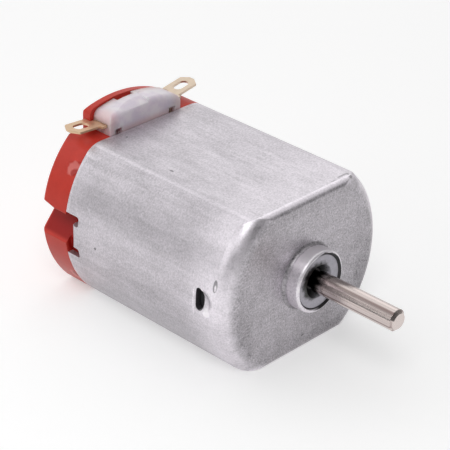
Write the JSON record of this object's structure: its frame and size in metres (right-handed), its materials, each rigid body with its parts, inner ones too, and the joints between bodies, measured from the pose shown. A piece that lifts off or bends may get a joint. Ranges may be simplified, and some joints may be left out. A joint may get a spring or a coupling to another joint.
{
  "type": "demonstration electric motor",
  "caption": "Small direct-current motor for classroom experiments: steel can with two flats, bare shaft in front, moulded end cap with two solder terminals behind.",
  "frame": {"origin": "on the shaft axis, in the plane of the can's front face, where the bearing boss rises", "axes": "-Y points out along the output shaft; +Z is normal to the can's upper flat, on the terminals' side; +X points to the right in a view along +Y, which looks at the shaft's end"},
  "size_m": [0.02, 0.0351, 0.0175],
  "materials": {
    "can_steel": "matte",
    "sintered_bush": "satin",
    "ferrite": "matte",
    "spring_wire": "satin",
    "red_plastic": "satin",
    "milky_plastic": "satin",
    "terminal_brass": "satin",
    "arm_bronze": "satin",
    "brush_carbon": "matte",
    "polished_steel": "polished",
    "washer_fibre": "matte",
    "sleeve_plastic": "satin",
    "lamination_steel": "satin",
    "enamelled_copper": "gloss",
    "bar_copper": "satin"
  },
  "bodies": {
    "housing": {"motor_can": "can_steel", "front_bearing": "sintered_bush", "magnet_left": "ferrite", "magnet_right": "ferrite", "magnet_spring": "spring_wire", "end_cap": "red_plastic", "rear_bearing": "sintered_bush", "terminal_block": "milky_plastic", "terminal_left": "terminal_brass", "terminal_right": "terminal_brass"},
    "rotor": {"shaft": "polished_steel", "front_washer": "washer_fibre", "spacer_sleeve": "sleeve_plastic", "core_laminations": "lamination_steel", "front_end_plate": "washer_fibre", "rear_end_plate": "washer_fibre", "coil_1": "enamelled_copper", "coil_2": "enamelled_copper", "coil_3": "enamelled_copper", "commutator_hub": "sleeve_plastic", "commutator_bars": "bar_copper", "commutator_ring": "washer_fibre", "rear_washer": "washer_fibre"},
    "brush_gear_left": {"brush_arm_left": "arm_bronze", "brush_left": "brush_carbon"},
    "brush_gear_right": {"brush_arm_right": "arm_bronze", "brush_right": "brush_carbon"}
  },
  "joints": [
    {"name": "rotor_spin", "type": "hinge", "parent": "housing", "child": "rotor", "pos_m": [0, 0, 0], "axis": [0, -1, 0], "continuous": true},
    {"name": "brush_left_lift", "type": "hinge", "parent": "housing", "child": "brush_gear_left", "pos_m": [-0.00385, 0.0187, 0.0052], "axis": [0, 1, 0], "range_deg": [0, 5], "stiffness_Nm_per_rad": 0.0001, "springref_deg": -11.46},
    {"name": "brush_right_lift", "type": "hinge", "parent": "housing", "child": "brush_gear_right", "pos_m": [0.00385, 0.0187, 0.0052], "axis": [0, -1, 0], "range_deg": [0, 5], "stiffness_Nm_per_rad": 0.0001, "springref_deg": -11.46}
  ]
}
